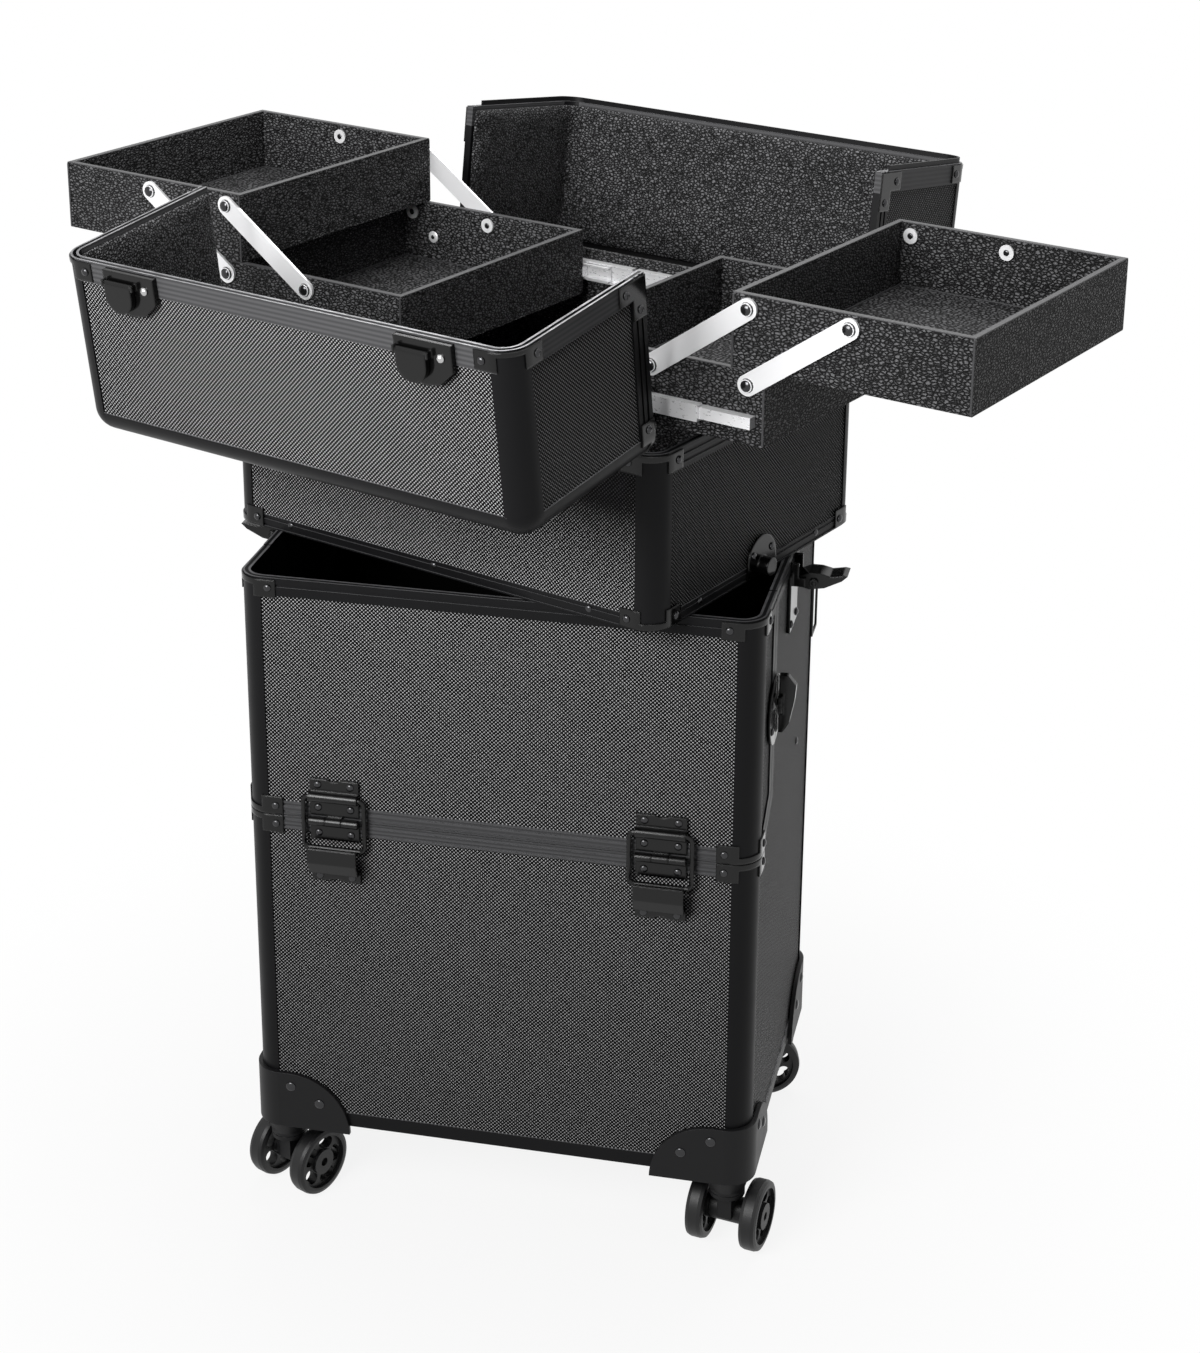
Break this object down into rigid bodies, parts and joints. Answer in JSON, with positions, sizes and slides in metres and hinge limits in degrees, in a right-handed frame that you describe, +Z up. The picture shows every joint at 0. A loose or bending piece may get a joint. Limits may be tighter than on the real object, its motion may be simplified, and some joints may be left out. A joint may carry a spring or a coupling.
{
  "type": "rolling makeup train case",
  "caption": "Rolling makeup case: trolley box on casters with a drop-front door, and a top case with half lids, drawn-out trays and swing-out upper trays.",
  "frame": {"origin": "on the floor under the middle of the trolley box", "axes": "+X to the right along the door, +Y to the back, +Z up"},
  "size_m": [0.7136, 0.6129, 0.7016],
  "materials": {
    "embossed_board": "embossed",
    "edge_profile": "satin",
    "black_steel": "gloss",
    "leather": "pebbled",
    "arm_metal": "satin",
    "slide_steel": "rolled",
    "guard_plastic": "moulded",
    "wheel_plastic": "moulded"
  },
  "bodies": {
    "trolley": {"trolley_floor": "embossed_board", "trolley_front_panel": "embossed_board", "trolley_rear_panel": "embossed_board", "trolley_left_panel": "embossed_board", "trolley_right_panel": "embossed_board", "trolley_frame": "edge_profile", "trolley_brackets": "black_steel", "corner_guards": "guard_plastic", "hinge_sleeves": "black_steel", "latch_bases": "black_steel"},
    "door": {"door_panel": "embossed_board", "door_cheeks": "embossed_board", "door_frame": "edge_profile", "door_brackets": "black_steel", "door_fittings": "black_steel"},
    "door_bails": {"door_bails": "black_steel"},
    "top_case": {"case_floor": "embossed_board", "case_long_panels": "embossed_board", "case_end_panels": "embossed_board", "case_frame": "edge_profile", "case_brackets": "black_steel", "case_fittings": "black_steel", "support_boards": "leather", "slide_fixed_channels": "slide_steel"},
    "front_lid": {"front_lid_panels": "embossed_board", "front_lid_frame": "edge_profile", "front_lid_lining": "leather", "front_lid_fittings": "black_steel"},
    "rear_lid": {"rear_lid_panels": "embossed_board", "rear_lid_frame": "edge_profile", "rear_lid_lining": "leather", "rear_lid_fittings": "black_steel"},
    "door_latch_left": {"door_latch_left": "black_steel"},
    "end_latch_lever_left": {"end_latch_lever_left": "black_steel"},
    "end_latch_bail_left": {"end_latch_bail_left": "black_steel"},
    "door_latch_right": {"door_latch_right": "black_steel"},
    "end_latch_lever_right": {"end_latch_lever_right": "black_steel"},
    "end_latch_bail_right": {"end_latch_bail_right": "black_steel"},
    "caster_fork_front_left": {"caster_fork_front_left": "guard_plastic"},
    "caster_wheels_front_left": {"caster_wheels_front_left": "wheel_plastic"},
    "caster_fork_front_right": {"caster_fork_front_right": "guard_plastic"},
    "caster_wheels_front_right": {"caster_wheels_front_right": "wheel_plastic"},
    "caster_fork_rear_left": {"caster_fork_rear_left": "guard_plastic"},
    "caster_wheels_rear_left": {"caster_wheels_rear_left": "wheel_plastic"},
    "caster_fork_rear_right": {"caster_fork_rear_right": "guard_plastic"},
    "caster_wheels_rear_right": {"caster_wheels_rear_right": "wheel_plastic"},
    "front_lid_latch_left": {"front_lid_latch_left": "black_steel"},
    "front_lid_latch_right": {"front_lid_latch_right": "black_steel"},
    "left_lower_tray": {"left_lower_tray": "leather", "left_slide_bars": "slide_steel"},
    "left_slide_channels": {"left_slide_channels": "slide_steel"},
    "left_inner_arms": {"left_inner_arms": "arm_metal"},
    "left_outer_arms": {"left_outer_arms": "arm_metal"},
    "left_upper_tray": {"left_upper_tray": "leather"},
    "right_lower_tray": {"right_lower_tray": "leather", "right_slide_bars": "slide_steel"},
    "right_slide_channels": {"right_slide_channels": "slide_steel"},
    "right_inner_arms": {"right_inner_arms": "arm_metal"},
    "right_outer_arms": {"right_outer_arms": "arm_metal"},
    "right_upper_tray": {"right_upper_tray": "leather"}
  },
  "joints": [
    {"name": "door_hinge", "type": "hinge", "parent": "trolley", "child": "door", "pos_m": [0, -0.1245, 0.2977], "axis": [1, 0, 0], "range_deg": [0, 90]},
    {"name": "door_bail_pivot", "type": "hinge", "parent": "door", "child": "door_bails", "pos_m": [0, -0.1244, 0.3152], "axis": [1, 0, 0], "range_deg": [-62.1, 0]},
    {"name": "door_latch_left_turn", "type": "hinge", "parent": "trolley", "child": "door_latch_left", "pos_m": [-0.174, -0.0571, 0.3835], "axis": [-1, 0, 0], "range_deg": [0, 90]},
    {"name": "end_latch_lever_left_swing", "type": "hinge", "parent": "trolley", "child": "end_latch_lever_left", "pos_m": [-0.177, 0, 0.448], "axis": [0, -1, 0], "range_deg": [-25, 70]},
    {"name": "end_latch_bail_left_swing", "type": "hinge", "parent": "end_latch_lever_left", "child": "end_latch_bail_left", "pos_m": [-0.185, 0, 0.448], "axis": [0, -1, 0], "range_deg": [-70, 25]},
    {"name": "door_latch_right_turn", "type": "hinge", "parent": "trolley", "child": "door_latch_right", "pos_m": [0.174, -0.0571, 0.3835], "axis": [1, 0, 0], "range_deg": [0, 90]},
    {"name": "end_latch_lever_right_swing", "type": "hinge", "parent": "trolley", "child": "end_latch_lever_right", "pos_m": [0.177, 0, 0.448], "axis": [0, 1, 0], "range_deg": [-25, 70]},
    {"name": "end_latch_bail_right_swing", "type": "hinge", "parent": "end_latch_lever_right", "child": "end_latch_bail_right", "pos_m": [0.185, 0, 0.448], "axis": [0, 1, 0], "range_deg": [-70, 25]},
    {"name": "caster_front_left_swivel", "type": "hinge", "parent": "trolley", "child": "caster_fork_front_left", "pos_m": [-0.154, -0.105, 0.046], "axis": [0, 0, 1], "continuous": true},
    {"name": "caster_front_left_roll", "type": "hinge", "parent": "caster_fork_front_left", "child": "caster_wheels_front_left", "pos_m": [-0.15062, -0.09775, 0.024], "axis": [0.9063, -0.4226, 0], "continuous": true},
    {"name": "caster_front_right_swivel", "type": "hinge", "parent": "trolley", "child": "caster_fork_front_right", "pos_m": [0.154, -0.105, 0.046], "axis": [0, 0, 1], "continuous": true},
    {"name": "caster_front_right_roll", "type": "hinge", "parent": "caster_fork_front_right", "child": "caster_wheels_front_right", "pos_m": [0.15539, -0.09712, 0.024], "axis": [0.9848, -0.1736, 0], "continuous": true},
    {"name": "caster_rear_left_swivel", "type": "hinge", "parent": "trolley", "child": "caster_fork_rear_left", "pos_m": [-0.154, 0.105, 0.046], "axis": [0, 0, 1], "continuous": true},
    {"name": "caster_rear_left_roll", "type": "hinge", "parent": "caster_fork_rear_left", "child": "caster_wheels_rear_left", "pos_m": [-0.15153, 0.11261, 0.024], "axis": [0.9511, -0.309, 0], "continuous": true},
    {"name": "caster_rear_right_swivel", "type": "hinge", "parent": "trolley", "child": "caster_fork_rear_right", "pos_m": [0.154, 0.105, 0.046], "axis": [0, 0, 1], "continuous": true},
    {"name": "caster_rear_right_roll", "type": "hinge", "parent": "caster_fork_rear_right", "child": "caster_wheels_rear_right", "pos_m": [0.14627, 0.10293, 0.024], "axis": [-0.2588, 0.9659, 0], "continuous": true},
    {"name": "top_case_lift", "type": "slide", "parent": "trolley", "child": "top_case", "axis": [0, 0, 1], "range_m": [0, 0.3]},
    {"name": "front_lid_hinge", "type": "hinge", "parent": "top_case", "child": "front_lid", "pos_m": [-0.04798, -0.09356, 0.5795], "axis": [0.9265, -0.3762, 0], "range_deg": [-18, 0]},
    {"name": "rear_lid_hinge", "type": "hinge", "parent": "top_case", "child": "rear_lid", "pos_m": [0.04458, 0.13436, 0.5795], "axis": [-0.9265, 0.3762, 0], "range_deg": [-18, 0]},
    {"name": "front_lid_latch_left_lift", "type": "hinge", "parent": "front_lid", "child": "front_lid_latch_left", "pos_m": [-0.21103, -0.18679, 0.67266], "axis": [-0.9265, 0.3762, 0], "range_deg": [0, 60]},
    {"name": "front_lid_latch_right_lift", "type": "hinge", "parent": "front_lid", "child": "front_lid_latch_right", "pos_m": [-0.00719, -0.26955, 0.67266], "axis": [-0.9265, 0.3762, 0], "range_deg": [0, 60]},
    {"name": "left_lower_tray_draw", "type": "slide", "parent": "top_case", "child": "left_lower_tray", "axis": [-0.9265, 0.3762, 0], "range_m": [-0.0382, 0.07]},
    {"name": "left_slide_draw", "type": "slide", "parent": "top_case", "child": "left_slide_channels", "axis": [-0.9265, 0.3762, 0], "range_m": [-0.0191, 0.035]},
    {"name": "left_arm_fold", "type": "hinge", "parent": "left_lower_tray", "child": "left_inner_arms", "pos_m": [-0.11075, 0.06468, 0.6292], "axis": [0.3762, 0.9265, 0], "range_deg": [0, 110.15]},
    {"name": "left_outer_arm_fold", "type": "hinge", "parent": "left_lower_tray", "child": "left_outer_arms", "pos_m": [-0.17283, 0.08989, 0.6292], "axis": [0.3762, 0.9265, 0], "range_deg": [0, 110.15]},
    {"name": "left_upper_tray_level", "type": "hinge", "parent": "left_inner_arms", "child": "left_upper_tray", "pos_m": [-0.17153, 0.08936, 0.675], "axis": [0.3762, 0.9265, 0], "range_deg": [-110.15, 0]},
    {"name": "right_lower_tray_draw", "type": "slide", "parent": "top_case", "child": "right_lower_tray", "axis": [0.9265, -0.3762, 0], "range_m": [-0.0706, 0.04]},
    {"name": "right_slide_draw", "type": "slide", "parent": "top_case", "child": "right_slide_channels", "axis": [0.9265, -0.3762, 0], "range_m": [-0.0353, 0.02]},
    {"name": "right_arm_fold", "type": "hinge", "parent": "right_lower_tray", "child": "right_inner_arms", "pos_m": [0.13737, -0.03607, 0.6292], "axis": [-0.3762, -0.9265, 0], "range_deg": [0, 110.15]},
    {"name": "right_outer_arm_fold", "type": "hinge", "parent": "right_lower_tray", "child": "right_outer_arms", "pos_m": [0.19945, -0.06128, 0.6292], "axis": [-0.3762, -0.9265, 0], "range_deg": [0, 110.15]},
    {"name": "right_upper_tray_level", "type": "hinge", "parent": "right_inner_arms", "child": "right_upper_tray", "pos_m": [0.19814, -0.06075, 0.675], "axis": [-0.3762, -0.9265, 0], "range_deg": [-110.15, 0]}
  ],
  "couplings": [
    {"joint": "door_bail_pivot", "follows": "door_hinge", "ratio": -0.68441},
    {"joint": "end_latch_bail_left_swing", "follows": "end_latch_lever_left_swing", "ratio": -1},
    {"joint": "end_latch_bail_right_swing", "follows": "end_latch_lever_right_swing", "ratio": -1},
    {"joint": "left_slide_draw", "follows": "left_lower_tray_draw", "ratio": 0.5},
    {"joint": "left_outer_arm_fold", "follows": "left_arm_fold", "ratio": 1},
    {"joint": "left_upper_tray_level", "follows": "left_arm_fold", "ratio": -1},
    {"joint": "right_slide_draw", "follows": "right_lower_tray_draw", "ratio": 0.5},
    {"joint": "right_outer_arm_fold", "follows": "right_arm_fold", "ratio": 1},
    {"joint": "right_upper_tray_level", "follows": "right_arm_fold", "ratio": -1}
  ]
}
